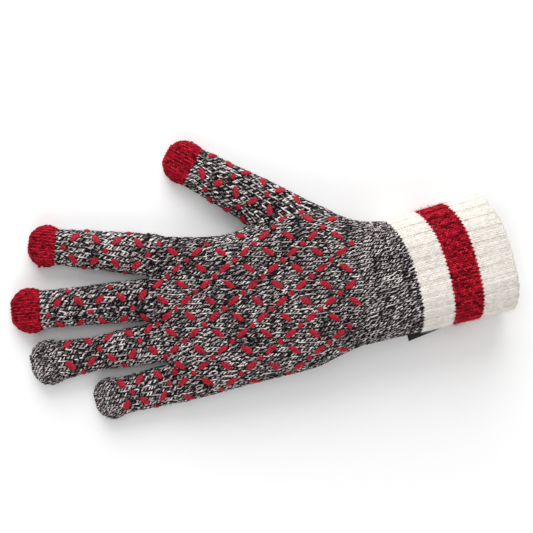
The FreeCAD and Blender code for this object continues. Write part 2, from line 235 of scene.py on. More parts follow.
def digit_tube(d):
    rows = [(s, -w / 2, w / 2, t) for s, w, t in d["stations"] if s >= d["start"] - 8.0]
    thick = d["stations"][-1][2]
    span = d["length"] - d["cap"]
    for share, wide, deep in CAP_PROFILE:
        w = d["cap_width"] * wide
        rows.append((d["cap"] + share * span, -w / 2, w / 2, thick * deep))
    tube = Tube(rows, d["base"], d["heading"], smooth=2.5, crown=0.4)
    tube.first = d["start"]
    return tube


palm = Tube(PALM, smooth=9.0, crown=1.2)
web = Tube(WEB, smooth=3.0, crown=0.0)
cuff = Tube(CUFF_STATIONS, CUFF_BASE, CUFF_HEADING, CUFF_LEAN, crown=0.6, bow=CUFF_BOW)
digits = {name: digit_tube(d) for name, d in DIGITS.items()}
NEIGHBOURS = {
    "palm": [(digits["thumb"], 7.0), (digits["little"], 4.0), (web, 0.0)],
    "web": [
        (digits["index"], 3.0), (digits["middle"], 3.0), (digits["ring"], 3.0), (palm, 0.0),
        (digits["little"], 2.0),
    ],
    "index": [(web, 3.0)], "middle": [(web, 3.0)], "ring": [(web, 3.0), (digits["little"], 0.0)],
    "little": [(palm, 4.0), (web, 2.0)], "thumb": [(palm, 7.0)], "cuff": [],
}


def settle(group, p, n):
    """Push places out where two tubes meet, so that they merge softly, and find the hidden ones."""
    push = np.zeros(p.shape[:-1])
    hidden = np.zeros(p.shape[:-1], bool)
    for tube, soft in NEIGHBOURS[group]:
        d = tube.depth(p)
        if soft:
            push += soft / 4 * np.clip(1 - np.abs(d) / soft, 0, 1) ** 2
        hidden |= d < -0.9
    if group == "web":
        x, y = p[..., 0], p[..., 1]
        for valley in VALLEYS:
            fade = np.clip((valley[2] - x) / 14.0, 0, 1)
            push -= valley[1] * fade * np.exp(-(((y - valley[0]) / 2.4) ** 2))
    upward = np.clip(n[..., 2] + 0.6, 0, 1)
    return p + n * (push * upward)[..., None], hidden


VALLEYS = [(1.6, 3.0, -47.0), (-22.8, 3.0, -46.0)]


# ---------------------------------------------------------------- mesh building
class Builder:
    """Collects quads and their material numbers for one piece."""

    def __init__(self):
        self.points, self.quads, self.kinds, self.count = [], [], [], 0

    def add(self, points, quads, kinds):
        self.points.append(points.reshape(-1, 3))
        self.quads.append(quads.reshape(-1, 4) + self.count)
        self.kinds.append(np.broadcast_to(kinds, (quads.reshape(-1, 4).shape[0],)))
        self.count += points.reshape(-1, 3).shape[0]

    def legs(self, centres, normals, radii, kinds, sides=SIDES):
        """Short tubes of yarn: centres and normals (n, rings, 3), radii (n, rings), and
        kinds (n,) or (n, rings - 1)."""
        count, rings = radii.shape
        if not count:
            return
        tangents = np.gradient(centres, axis=1)
        tangents /= np.linalg.norm(tangents, axis=2, keepdims=True) + 1e-9
        sideways = np.cross(tangents, normals)
        sideways /= np.linalg.norm(sideways, axis=2, keepdims=True) + 1e-9
        up = np.cross(sideways, tangents)
        angles = np.arange(sides) * 2 * math.pi / sides + math.pi / 2
        rim = (
            sideways[:, :, None] * np.cos(angles)[:, None] + up[:, :, None] * np.sin(angles)[:, None]
        ) * radii[:, :, None, None]
        points = centres[:, :, None] + rim
        i = np.arange(sides)
        one = np.stack([i, (i + 1) % sides, (i + 1) % sides + sides, i + sides], -1)
        strip = (one[None] + (np.arange(rings - 1) * sides)[:, None, None]).reshape(-1, 4)
        quads = strip[None] + (np.arange(count) * rings * sides)[:, None, None]
        if np.ndim(kinds) == 1:
            kinds = np.repeat(kinds[:, None], rings - 1, axis=1)
        self.add(points, quads, np.repeat(kinds, sides, axis=1).ravel())

    def grid(self, points, kinds, wrap=False):
        """A grid of quads through points (rows, columns, 3)."""
        rows, columns = points.shape[:2]
        i, j = np.meshgrid(np.arange(rows - 1), np.arange(columns if wrap else columns - 1), indexing="ij")
        k = (j + 1) % columns
        quads = np.stack([i * columns + j, i * columns + k, (i + 1) * columns + k, (i + 1) * columns + j], -1)
        self.add(points, quads, kinds)

    def piece(self, name, materials, slot):
        points = np.concatenate(self.points) * MM
        points[:, 2] = np.maximum(points[:, 2], LOWEST * MM)
        quads = np.concatenate(self.quads)
        mesh = bpy.data.meshes.new(name)
        mesh.vertices.add(len(points))
        mesh.vertices.foreach_set("co", points.astype(np.float32).ravel())
        mesh.loops.add(quads.size)
        mesh.loops.foreach_set("vertex_index", quads.astype(np.int32).ravel())
        mesh.polygons.add(len(quads))
        mesh.polygons.foreach_set("loop_start", np.arange(0, quads.size, 4, dtype=np.int32))
        mesh.update(calc_edges=True)
        mesh.polygons.foreach_set("material_index", np.concatenate(self.kinds).astype(np.int32))
        mesh.polygons.foreach_set("use_smooth", np.full(len(quads), True))
        for material in materials:
            mesh.materials.append(material)
        mesh.update()
        ob = bpy.data.objects.new(name, mesh)
        bpy.context.scene.collection.objects.link(ob)
        return ob


# ---------------------------------------------------------------- materials
YARN_ROUGHNESS = 0.85
YARN_SPECULAR = 0.10
YARN_FIBRE = 0.00022  # metres across one fibre of the bump
YARN_BUMP = 0.35
YARN_BUMP_DEPTH = 0.0002


def new_material(name):
    material = bpy.data.materials.new(name)
    material.use_nodes = True
    nodes = material.node_tree.nodes
    return material, nodes, material.node_tree.links, nodes["Principled BSDF"]


def yarn(name, colour, sheen=0.0):
    """Fibrous yarn: one shade, with twisted fibres in its bump."""
    material, nodes, links, shader = new_material(name)
    shader.inputs["Base Color"].default_value = (*colour, 1)
    shader.inputs["Roughness"].default_value = YARN_ROUGHNESS
    shader.inputs["Specular IOR Level"].default_value = YARN_SPECULAR
    shader.inputs["Sheen Weight"].default_value = sheen
    shader.inputs["Sheen Roughness"].default_value = 0.5
    place = nodes.new("ShaderNodeTexCoord")
    noise = nodes.new("ShaderNodeTexNoise")
    noise.inputs["Scale"].default_value = 1 / YARN_FIBRE
    noise.inputs["Detail"].default_value = 3
    bump = nodes.new("ShaderNodeBump")
    bump.inputs["Strength"].default_value = YARN_BUMP
    bump.inputs["Distance"].default_value = YARN_BUMP_DEPTH
    links.new(place.outputs["Object"], noise.inputs["Vector"])
    links.new(noise.outputs["Fac"], bump.inputs["Height"])
    links.new(bump.outputs["Normal"], shader.inputs["Normal"])
    return material


def mottled(name, stops, size, rough, bump_by, specular=0.3):
    """Colour that wanders through stops (position, colour) at a given size in metres."""
    material, nodes, links, shader = new_material(name)
    shader.inputs["Roughness"].default_value = rough
    shader.inputs["Specular IOR Level"].default_value = specular
    place = nodes.new("ShaderNodeTexCoord")
    noise = nodes.new("ShaderNodeTexNoise")
    noise.inputs["Scale"].default_value = 1 / size
    noise.inputs["Detail"].default_value = 4
    ramp = nodes.new("ShaderNodeValToRGB")
    while len(ramp.color_ramp.elements) < len(stops):
        ramp.color_ramp.elements.new(0.5)
    for element, (at, colour) in zip(ramp.color_ramp.elements, stops):
        element.position = at
        element.color = (*colour, 1)
    bump = nodes.new("ShaderNodeBump")
    bump.inputs["Strength"].default_value = 0.5
    bump.inputs["Distance"].default_value = bump_by
    links.new(place.outputs["Object"], noise.inputs["Vector"])
    links.new(noise.outputs["Fac"], ramp.inputs["Fac"])
    links.new(ramp.outputs["Color"], shader.inputs["Base Color"])
    links.new(noise.outputs["Fac"], bump.inputs["Height"])
    links.new(bump.outputs["Normal"], shader.inputs["Normal"])
    return material


MARL = [
    yarn("marl_black", (0.006, 0.005, 0.006)),
    yarn("marl_charcoal", (0.026, 0.022, 0.023)),
    yarn("marl_grey", (0.16, 0.135, 0.138)),
    yarn("marl_pale", (0.50, 0.44, 0.44)),
    yarn("marl_white", (0.88, 0.81, 0.80)),
]
RED = [
    # The deepest red is both a random shade of the yarn and, on the red legs, the painted shade at each leg's
    # dipping ends.
    yarn("red_deep_and_pit_shade", (0.10, 0.002, 0.006)),
    yarn("red_dark", (0.33, 0.005, 0.017)),
    yarn("red_mid", (0.48, 0.009, 0.027)),
    yarn("red_bright", (0.66, 0.020, 0.045)),
]
CREAM = [
    yarn("cream_shade", (0.76, 0.71, 0.65), sheen=0.08),
    yarn("cream_mid", (0.83, 0.79, 0.73), sheen=0.08),
    yarn("cream_light", (0.88, 0.85, 0.80), sheen=0.08),
]
# Marl backing: a mottle of black and grey, kept darker than the yarn above it as painted shade in the gaps between
# the stitches.
MARL_BACK_PAINTED_SHADE = mottled(
    "marl_backing_painted_shade", [(0.35, (0.01, 0.01, 0.01)), (0.6, (0.16, 0.15, 0.15))],
    0.0012, 0.95, 0.0004,
)
# Red backing: far darker than the red yarn, painted shade in the gaps between the stitches.
RED_BACK_PAINTED_SHADE = mottled(
    "red_backing_painted_shade", [(0.3, (0.045, 0.001, 0.003)), (0.7, (0.13, 0.003, 0.008))],
    0.001, 0.95, 0.0003,
)
CREAM_BACK = mottled(
    "cream_backing", [(0.3, (0.66, 0.60, 0.54)), (0.7, (0.80, 0.75, 0.69))],
    0.001, 0.95, 0.0003,
)
GRIP = mottled(
    "grip_silicone",
    [(0.36, (0.08, 0.008, 0.012)), (0.46, (0.34, 0.008, 0.022)), (0.70, (0.52, 0.014, 0.036))],
    0.0009, 0.55, 0.0003, specular=0.15,
)
LABEL = mottled(
    "label_weave", [(0.3, (0.006, 0.006, 0.006)), (0.7, (0.02, 0.02, 0.021))],
    0.0004, 0.6, 0.0001,
)


# ---------------------------------------------------------------- stitches
def smooth_noise(table, x, y):
    """Bilinear noise from a random table."""
    n = table.shape[0]
    i, j = np.floor(x).astype(int), np.floor(y).astype(int)
    u, v = x - i, y - j
    u, v = u * u * (3 - 2 * u), v * v * (3 - 2 * v)
    a = table[i % n, j % n] * (1 - u) + table[(i + 1) % n, j % n] * u
    b = table[i % n, (j + 1) % n] * (1 - u) + table[(i + 1) % n, (j + 1) % n] * u
    return a * (1 - v) + b * v


def plain_kinds_lit_leg(shades):
    def pick(wale, row, leg, seed):
        rng = np.random.default_rng(seed)
        # Random shade per leg, with the second leg of each V pushed lighter: a painted side light on the V.
        value = rng.random(wale.shape) + 0.25 * leg
        return np.clip((value * shades / 1.25).astype(int), 0, shades - 1)
    return pick


def stitches(point, group, at, pitch_of, wales, first, last, course, tipward, seed, keep_c=None, rise=None):
    """Two legs for every stitch between first and last: their middle lines, normals and places.

    at(wale, s) is how far around a wale lies, pitch_of(s) the wale spacing there, and tipward
    is 1 where s grows towards the fingertips and -1 where it falls.
    """
    rng = np.random.default_rng(seed)
    rows = max(int(round((last - first) / course)), 1)
    step = (last - first) / rows
    wale, row, leg = (v.ravel() for v in np.meshgrid(wales, np.arange(rows), np.arange(2), indexing="ij"))
    side = leg * 2 - 1
    s = first + (row + 0.5) * step
    if keep_c is not None:
        near = keep_c(s, at(wale, s))
        wale, row, leg, side, s = wale[near], row[near], leg[near], side[near], s[near]
    one = (len(s), 1)
    s_rings = s[:, None] + tipward * LEG_ALONG * step + rng.normal(size=one) * 0.06
    pitch = pitch_of(s)[:, None]
    c_rings = at(wale[:, None], s_rings) + side[:, None] * (LEG_ACROSS + rng.normal(size=one) * 0.012) * pitch
    lift = LEG_LIFT * pitch / WALE + rng.normal(size=one) * 0.05 - (PLY_RADIUS + PLY_OFFSET) * pitch
    if rise is not None:
        lift = lift + rise(wale)[:, None]
    p, n = point(s_rings, c_rings, lift)
    hidden = np.zeros(p.shape[:2], bool)
    if group:
        p, hidden = settle(group, p, n)
    keep = ~(hidden[:, 2] & hidden[:, 3])
    return {
        "line": p[keep], "normal": n[keep], "pitch": pitch[keep], "wale": wale[keep],
        "row": row[keep], "leg": leg[keep],
    }


def choose(st, mask):
    return {key: value[mask] for key, value in st.items()}


def lay_plain(builder, st, pick, seed, thick):
    """Single soft yarn along every leg."""
    rng = np.random.default_rng(seed)
    size = thick * st["pitch"] * (1 + 0.07 * rng.normal(size=st["pitch"].shape))
    builder.legs(st["line"], st["normal"], LEG_THICK * size, pick(st["wale"], st["row"], st["leg"], seed))


def lay_marl(builder, st, seed):
    """A pale and a black ply wound around each other along every leg."""
    rng = np.random.default_rng(seed)
    line, normal, pitch = st["line"], st["normal"], st["pitch"]
    tangent = np.gradient(line, axis=1)
    tangent /= np.linalg.norm(tangent, axis=2, keepdims=True)
    left = np.cross(normal, tangent)
    left /= np.linalg.norm(left, axis=2, keepdims=True)
    up = np.cross(tangent, left)
    length = np.linalg.norm(np.diff(line, axis=1), axis=2).sum(1, keepdims=True)
    wale, row, leg = st["wale"], st["row"] + 19 * seed, st["leg"]
    slow = smooth_noise(np.random.default_rng(5).normal(size=(64, 64)), wale / 3.7, row / 1.9)
    start = 0.43 * (2 * wale + leg) + 0.17 * row + 0.55 * slow + rng.normal(size=wale.shape) * 0.11
    turn = 2 * math.pi * (start[:, None] + LEG_T * length / (TWIST * pitch / WALE))
    tone = smooth_noise(np.random.default_rng(6).normal(size=(64, 64)), wale / 4.3, row / 1.7)
    pale = np.digitize(0.60 + 0.15 * tone + 0.24 * rng.normal(size=wale.shape), [0.0, 0.22, 0.48, 0.80])
    dark = np.digitize(0.10 + 0.10 * tone + 0.13 * rng.normal(size=wale.shape), [0.22, 0.52, 0.78])
    for ply, kinds in ((0, pale), (1, dark)):
        angle = turn + math.pi * ply
        offset = PLY_OFFSET * pitch * np.array([0.8, 1, 1, 1, 1, 0.8])
        place = line + (up * np.sin(angle)[..., None] - left * np.cos(angle)[..., None]) * offset[..., None]
        size = PLY_RADIUS * pitch * (0.90 + 0.22 * ply + 0.08 * rng.normal(size=pitch.shape))
        builder.legs(place, normal, LEG_THICK * size, kinds)


def backing(builder, group, tube, first, last, inset, kind, columns, step=1.5):
    """The closed layer under the stitches."""
    s = np.linspace(first, last, max(int((last - first) / step), 2) + 1)[:, None]
    share = np.arange(columns)[None] / columns - 0.5
    c = share * tube.around(s)
    p, n = tube.point(s, c, -inset)
    p, _ = settle(group, p, n)
    builder.grid(p, kind, wrap=True)


def tube_stitches(group, tube, count, first, last, course, tipward, seed, rise=None):
    """Stitches whose wales spread and narrow with the tube."""
    return stitches(
        tube.point, group, lambda wale, s: (wale / count - 0.5) * tube.around(s),
        lambda s: tube.around(s) / count, np.arange(count), first, last, course, tipward, seed, rise=rise,
    )


def knit_cap(builder, group, tube, d, lay, seed, backing_kind):
    """A fingertip: wales run straight on and end at a flat closure, bound by a chain of stitches."""
    pitch = CAP_WALE["marl" if lay is lay_marl else "red"]
    start, end = d["cap"], d["length"]
    reach = int(d["cap_width"] / 2 / pitch) + 2
    for face in (0, 1):

        def at(wale, s, face=face):
            offset = (wale - reach) * pitch
            return offset if face == 0 else np.where(offset >= 0, 1, -1) * tube.around(s) / 2 - offset

        st = stitches(tube.point, group, at, lambda s: np.full(np.shape(s), pitch), np.arange(2 * reach + 1),
                      start, end, COURSE["cap"] * pitch / CAP_WALE["red"], 1, seed + face)
        s, _, _ = tube.local(st["line"][:, 3])
        _, _, flat, r = tube.section(s)
        offset = np.abs((st["wale"] - reach) * pitch)
        st = choose(st, (offset < flat + 1.45 * r) & (s < end + 0.1))
        lay(builder, st, seed + face)
    bind_edge(builder, tube, d, lay, seed + 5)
    backing(builder, group, tube, start - 0.5, end - 0.6, 1.0, backing_kind, 40, step=1.0)
    rim, _ = tube.point(end - 0.6, (np.arange(40) / 40 - 0.5) * tube.around(np.array(end - 0.6)), -1.0)
    builder.grid(np.stack([rim, np.broadcast_to(rim.mean(0), rim.shape)]), backing_kind, wrap=True)


def bind_edge(builder, tube, d, lay, seed):
    """Slanted stitches along a fingertip's closed outline."""
    start, end = d["cap"] + 0.5, d["length"]
    s = np.linspace(start, end, 160)
    _, half, _, _ = tube.section(s)
    outline = np.concatenate([np.stack([s, half], 1), np.stack([s[::-1], -half[::-1]], 1)])
    gone = np.concatenate([[0], np.cumsum(np.linalg.norm(np.diff(outline, axis=0), axis=1))])
    count = int(gone[-1] / 1.25)
    rng = np.random.default_rng(seed)
    for row, (raise_z, push) in enumerate(((1.5, -0.75), (0.5, -0.15), (-0.5, -0.15), (-1.5, -0.75))):
        spread = np.linspace(-1.0, 1.0, RINGS)
        at = (np.arange(count) + 0.5 * (row % 2) + 0.25)[:, None] * gone[-1] / count + spread
        so, y = np.interp(at, gone, outline[:, 0]), np.interp(at, gone, outline[:, 1])
        _, _, _, r = tube.section(so)
        z = FLOOR_CLEAR + r + raise_z + 0.45 * spread + rng.normal(size=(count, 1)) * 0.12
        out = np.sign(y)
        bulge = 0.34 * np.cos(spread * 1.6) + rng.normal(size=(count, 1)) * 0.2
        y = y + out * (push + bulge - 0.35)
        tip = np.clip((so - end + 4) / 4, 0, 1)
        xy = np.stack([so + tip * (push + bulge - 0.1), y], -1) @ tube.turn.T + tube.base
        p = np.concatenate([xy, z[..., None]], -1)
        n = np.zeros_like(p)
        n[..., :2] = np.stack([tip, out], -1) @ tube.turn.T
        n /= np.linalg.norm(n, axis=-1, keepdims=True)
        lay(builder, {
            "line": p, "normal": n, "pitch": np.full((count, 1), 1.9), "wale": np.arange(count),
            "row": np.full(count, row), "leg": np.zeros(count, int),
        }, seed + row)


def fibres(tube, group, first, last, count, kinds, length, seed):
    """Loose fibres that stand off the yarn: (centres, normals, radii, kinds)."""
    rng = np.random.default_rng(seed)
    s = rng.uniform(first, last, count)
    c = rng.uniform(-0.5, 0.5, count) * tube.around(s)
    p, n = tube.point(s, c, -0.15)
    p, hidden = settle(group, p, n)
    away = rng.normal(size=(count, 3)) + n * FIBRE_OUTWARD * 3
    away /= np.linalg.norm(away, axis=1, keepdims=True)
    bend = rng.normal(size=(count, 3)) * 0.5
    reach = (length * rng.uniform(0.4, 1.3, count))[:, None, None]
    steps = np.linspace(0, 1, len(FIBRE_RADII))[None, :, None]
    line = p[:, None] + away[:, None] * reach * steps + bend[:, None] * reach * steps**2
    line[..., 2] = np.maximum(line[..., 2], 0.05)
    keep = ~hidden
    radii = np.broadcast_to(FIBRE_RADII, (count, len(FIBRE_RADII)))
    pick = rng.choice(kinds, count)
    return line[keep], np.broadcast_to(n[:, None], line.shape)[keep], radii[keep], pick[keep]


# ---------------------------------------------------------------- the grip print
def lattice(start, a, b, reach):
    marks = []
    for i in range(-reach, reach + 1):
        for j in range(-reach, reach + 1):
            x = start[0] + i * a[0] + j * b[0]
            y = start[1] + i * a[1] + j * b[1]
            marks.append((x, y, None))
            for step in (a, b):
                marks.append((x + step[0] / 2, y + step[1] / 2, math.atan2(step[1], step[0])))
    return marks


def pad(builder, group, tube, s, c, turn, long, wide, rng):
    """One raised pad of the print, bent to the surface: a dot, or a leaf along turn."""
    around = np.linspace(0, 2 * math.pi, 24, endpoint=False)
    if turn is None:
        u, v = DOT_RADIUS * np.cos(around), DOT_RADIUS * np.sin(around)
        turn = 0.0
    else:
        u = long / 2 * np.cos(around)
        v = wide / 2 * np.sin(around) * (0.72 + 0.28 * np.abs(np.sin(around)))
    wobble = 1 + 0.07 * np.convolve(rng.normal(size=28), np.ones(5) / 3, "valid")
    u, v = u * wobble, v * wobble
    ds = u * math.cos(turn) - v * math.sin(turn)
    dc = u * math.sin(turn) + v * math.cos(turn)
    middle = tube.section(np.array(s))[0]
    rings = []
    for scale, lift in PAD_RINGS:
        here = s + ds * scale
        drift = tube.section(here)[0] - middle
        rings.append(tube.point(here, c + dc * scale - drift, lift))
    p = np.stack([r[0] for r in rings])
    n = np.stack([r[1] for r in rings])
    p, _ = settle(group, p, n)
    p[1:] += n[1:] * (rng.normal(size=p[1:].shape[:2]) * 0.045)[..., None]
    builder.grid(p[:, ::-1], 0, wrap=True)


def grip_marks():
    """Every pad as (group, tube, s, c, turn, place), without the steep, hidden and doubled ones."""
    marks = []

    def offer(group, tube, s, c, turn):
        p, n = tube.point(np.array(s), np.array(c), 0.0)
        if n[2] < math.cos(STEEPEST):
            return
        others = [palm, web, *digits.values()]
        if any(float(o.depth(p)) < -1.4 for o in others if o is not tube):
            return
        if any(np.linalg.norm(p - m[5]) < CLOSEST_PADS for m in marks):
            return
        marks.append((group, tube, s, c, turn, p))

    for x, y, turn in lattice(PRINT_START, PRINT_A, PRINT_B, 12):
        if PALM_PRINT[0] < x < PALM_PRINT[1]:
            tube, group = (palm, "palm") if x > PALM_START else (web, "web")
            middle, _, flat, r = tube.section(x)
            c = float(y - middle)
            if abs(c) < flat + r:
                over = abs(c) - flat
                if over > 0:
                    c = math.copysign(flat + r * math.asin(min(over / r, 1.0)), c)
                offer(group, tube, x, c, turn)
    for name, d in DIGITS.items():
        start, offset, pitch, rise = d["print"]
        for s, c, turn in lattice((start, offset), (pitch / 2, rise), (pitch / 2, -rise), 6):
            if d["print_from"] < s < d["cap"] - 2.0:
                offer(name, digits[name], s, c, turn)
    return marks


# ---------------------------------------------------------------- pieces
def hinge(name):
    return next(j for j in frame["joints"] if j["name"] == name)


def bend(piece, joint, parent, child, before, after):
    """Works out which way the hinge faces the child body, then only bakes the piece's transform into its mesh; it
    does not blend the piece over the hinge, and before and after (a stretch in millimetres) are not used.
    """
    pivot = np.array(joint["pos_m"])
    axis = np.array(joint["axis"])
    ahead = np.cross(axis, (0, 0, 1.0))
    ahead /= np.linalg.norm(ahead)
    towards = piece_direction(child)
    if ahead @ (towards - pivot) < 0:
        ahead = -ahead
    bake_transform(piece)


def piece_direction(body):
    """Middle of all of a body's nodes."""
    corners = [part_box(node) for node in frame["record"]["behaviour"]["bodies"][body]]
    return np.mean([(np.array(a) + np.array(b)) / 2 for a, b in corners], axis=0)


def nodes_like(*names):
    return [n for n in names if n in frame["nodes"]]


BEND_REACH = {"index": 8.0, "middle": 8.0, "ring": 8.0, "little": 6.5, "thumb": 7.5}
TOUCH = ("index", "middle", "thumb")
red_pick = plain_kinds_lit_leg(4)
cream_pick = plain_kinds_lit_leg(3)


def red_legs_painted_pits(wale, row, leg, seed):
    """Red shades picked at random along each leg's body, with the deepest red at its two ends as painted shade,
    where it dips under its neighbours.
    """
    body = red_pick(wale, row, leg, seed)
    return np.stack([np.zeros_like(body), body, body, body, np.zeros_like(body)], axis=1)


def cap_legs_painted_pit(wale, row, leg, seed):
    """Like the legs above, but with the deepest red as painted shade at the tucked end only."""
    kinds = red_legs_painted_pits(wale, row, leg, seed)
    kinds[:, 0] = kinds[:, 1]
    return kinds


def lay_red(builder, st, seed):
    lay_plain(builder, st, cap_legs_painted_pit, seed, thick=CAP_YARN)


def build_digit(name, seed):
    d, tube = DIGITS[name], digits[name]
    root, middle = d["folds"]
    course = COURSE["digit"]
    split = d["start"] + round(((root + middle) / 2 - d["start"]) / course) * course
    count = WALES[name]
    near, far, cap = Builder(), Builder(), Builder()
    lay_marl(near, tube_stitches(name, tube, count, d["start"], split, course, 1, seed), seed)
    backing(near, name, tube, max(d["start"], -8.0), split, BACK_DEPTH, len(MARL), 40)
    lay_marl(far, tube_stitches(name, tube, count, split, d["cap"], course, 1, seed + 1), seed + 1)
    backing(far, name, tube, split, d["cap"] + 0.5, BACK_DEPTH, len(MARL), 40)
    red = name in TOUCH
    shades, lay, back = (RED, lay_red, RED_BACK_PAINTED_SHADE) if red else (MARL, lay_marl, MARL_BACK_PAINTED_SHADE)
    knit_cap(cap, name, tube, d, lay, seed + 2, len(shades))
    near.legs(*fibres(tube, name, d["start"], split, 500, PALE_FIBRES, FIBRE_LENGTH["marl"], seed + 3))
    far.legs(*fibres(tube, name, split, d["cap"], 600, PALE_FIBRES, FIBRE_LENGTH["marl"], seed + 4))
    bright = [len(shades) - 1, len(shades) - 2]
    cap.legs(*fibres(tube, name, d["cap"], d["length"] - 1, 900, bright, FIBRE_LENGTH["cap"], seed + 5))
    if name == "index":
        knot(cap, tube, d)
    a = near.piece(name + "_root_knit", [*MARL, MARL_BACK_PAINTED_SHADE], "marl_knit")
    b = far.piece(name + "_middle_knit", [*MARL, MARL_BACK_PAINTED_SHADE], "marl_knit")
    c = cap.piece(name + "_tip_knit", [*shades, back], "touch_knit" if red else "marl_knit")
    reach = BEND_REACH[name]
    bend(a, hinge(name + "_root_bend"), "hand", name + "_base", reach, reach)
    bend(b, hinge(name + "_middle_bend"), name + "_base", name + "_end", reach, reach)
    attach(c, name + "_end")
    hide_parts(*nodes_like(name + "_root_fold", name + "_base"))
    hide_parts(*nodes_like(name + "_middle_fold", name + "_end"))
    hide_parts(*nodes_like(name + "_cap", name + "_cap_knot"))
    return split


KNOT_LOOP = 0.62  # radius of one loop of the knot


def knot(builder, tube, d):
    """The fastened yarn end at the corner of a fingertip: three small crossing loops."""
    xy = np.array([d["cap"] + 8.6, 11.2]) @ tube.turn.T + tube.base
    centre = np.array([*xy, 5.0])
    angle = np.linspace(0, 2 * math.pi, 9)
    for i, tilt in enumerate((0.2, 1.3, 2.4)):
        x, y = KNOT_LOOP * np.cos(angle), KNOT_LOOP * np.sin(angle)
        ring = np.stack([x, y * math.cos(tilt), y * math.sin(tilt)], 1)
        line = centre + ring
        builder.legs(line[None], ring[None] / KNOT_LOOP, np.full((1, 9), 0.36), np.array([i]))


def palm_scale(s):
    """The wales draw together towards the wrist."""
    t = np.clip((s - 20.0) / 31.0, 0, 1)
    end = float(palm.around(np.array(PALM_END))) / PALM_WALES / WALE
    return 1 - (1 - end) * t * t * (3 - 2 * t)


def palm_top(wale, s):
    return PALM_LINE + wale * WALE * palm_scale(s) - palm.section(s)[0]


def palm_bottom(wale, s):
    return palm.around(s) / 2 - palm_top(wale, s)


def palm_pitch(s):
    return WALE * palm_scale(s)


def top_part(s, c):
    _, _, flat, r = palm.section(s)
    return np.abs(c) <= flat + 0.96 * math.pi * r


def bottom_part(s, c):
    _, _, flat, _ = palm.section(s)
    return np.abs(c - palm.around(s) / 2) <= flat + 0.6


def build_palm():
    edges = PALM_START + COURSE["palm"] * np.array([0, 10, 20, 31, 42])
    edges = np.append(edges, PALM_END)
    wales = np.arange(-45, 46)
    for i, (a, b) in enumerate(zip(edges, edges[1:])):
        builder = Builder()
        for face, (at, part) in enumerate(((palm_top, top_part), (palm_bottom, bottom_part))):
            seed = 100 + 2 * i + face
            st = stitches(
                palm.point, "palm", at, palm_pitch, wales, a, b, COURSE["palm"], -1, seed, keep_c=part
            )
            lay_marl(builder, st, seed)
        builder.legs(*fibres(palm, "palm", a, b, 900, PALE_FIBRES, FIBRE_LENGTH["marl"], 120 + i))
        piece = builder.piece("palm_knit_%d" % (i + 1), MARL, "marl_knit")
        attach(piece, "hand")
        if i == 0:
            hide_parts("palm")
    builder = Builder()

    def web_at(wale, s):
        return PALM_LINE + wale * WALE - web.section(s)[0]

    def web_under(wale, s):
        return web.around(s) / 2 - web_at(wale, s)

    def web_pitch(s):
        return np.full(np.shape(s), WALE)

    def over(s, c):
        return np.abs(c) <= web.section(s)[2] + 0.96 * math.pi * web.section(s)[3]

    def under(s, c):
        return np.abs(c - web.around(s) / 2) <= web.section(s)[2] + 0.6

    for face, (at, part) in enumerate(((web_at, over), (web_under, under))):
        st = stitches(
            web.point, "web", at, web_pitch, wales, -60.5, PALM_START, COURSE["palm"], -1, 140 + face,
            keep_c=part,
        )
        lay_marl(builder, st, 140 + face)
    backing(builder, "web", web, -60.0, -44.0, BACK_DEPTH, len(MARL), 90)
    piece = builder.piece("web_knit", [*MARL, MARL_BACK_PAINTED_SHADE], "marl_knit")
    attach(piece, "hand")
    builder = Builder()
    backing(builder, "palm", palm, PALM_START, PALM_END, BACK_DEPTH, 0, 120)
    backing(builder, "palm", palm, -43.0, PALM_END, LINING_DEPTH, 0, 120)
    share = np.arange(120) / 120 - 0.5
    rim, _ = palm.point(PALM_START, share * palm.around(np.array(PALM_START)), -BACK_DEPTH)
    builder.grid(np.stack([np.broadcast_to(rim.mean(0), rim.shape), rim]), 0, wrap=True)
    piece = builder.piece("palm_backing", [MARL_BACK_PAINTED_SHADE], "marl_knit")
    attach(piece, "hand")


WRIST_LENGTH = 25.0
WRIST_COURSE = 1.68
WRIST_REACH = (9.5, 8.5)  # stretch before and after the wrist's hinge, handed to bend()


def wrist_point(s, c, lift):
    """The wrist: a tube between the palm's last section and the cuff's first one."""
    s, c, lift = np.broadcast_arrays(s, c, lift)
    around = float(palm.around(np.array(PALM_END)))
    f = c / around
    a, na = palm.point(PALM_END, c, lift)
    b, nb = cuff.point(0.0, f * cuff.around(np.array(0.0)), lift)
    w = (s / WRIST_LENGTH)[..., None]
    n = na * (1 - w) + nb * w
    return a * (1 - w) + b * w, n / np.linalg.norm(n, axis=-1, keepdims=True)


def build_wrist():
    around = float(palm.around(np.array(PALM_END)))
    pitch = around / PALM_WALES
    half = PALM_WALES // 2
    for part, first in enumerate((-half, 0)):
        builder = Builder()
        st = stitches(
            wrist_point, None, lambda wale, s: wale * pitch + 0 * s, lambda s: np.full(np.shape(s), pitch),
            np.arange(first, first + half), 0.0, WRIST_LENGTH + 0.3, WRIST_COURSE, -1, 200 + part,
        )
        lay_marl(builder, st, 200)
        c = (np.arange(61) / 120 + first / PALM_WALES) * around
        s, c = np.meshgrid(np.linspace(0, WRIST_LENGTH + 0.5, 20), c, indexing="ij")
        builder.grid(wrist_point(s, c, -BACK_DEPTH)[0], len(MARL))
        builder.grid(wrist_point(s, c, -LINING_DEPTH)[0], len(MARL))
        piece = builder.piece(f"wrist_knit_{part + 1}", [*MARL, MARL_BACK_PAINTED_SHADE], "marl_knit")
        bend(piece, hinge("wrist_bend"), "hand", "cuff", *WRIST_REACH)
        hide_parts("wrist")


RIBS = 27  # around the cuff
RIB = 0.26 * np.cos(2 * math.pi * np.arange(CUFF_WALES) * RIBS / CUFF_WALES)
RIB = RIB + np.random.default_rng(77).normal(size=CUFF_WALES) * 0.06


def rib(wale):
    """How far a wale of the cuff stands out."""
    return RIB[np.asarray(wale) % CUFF_WALES]


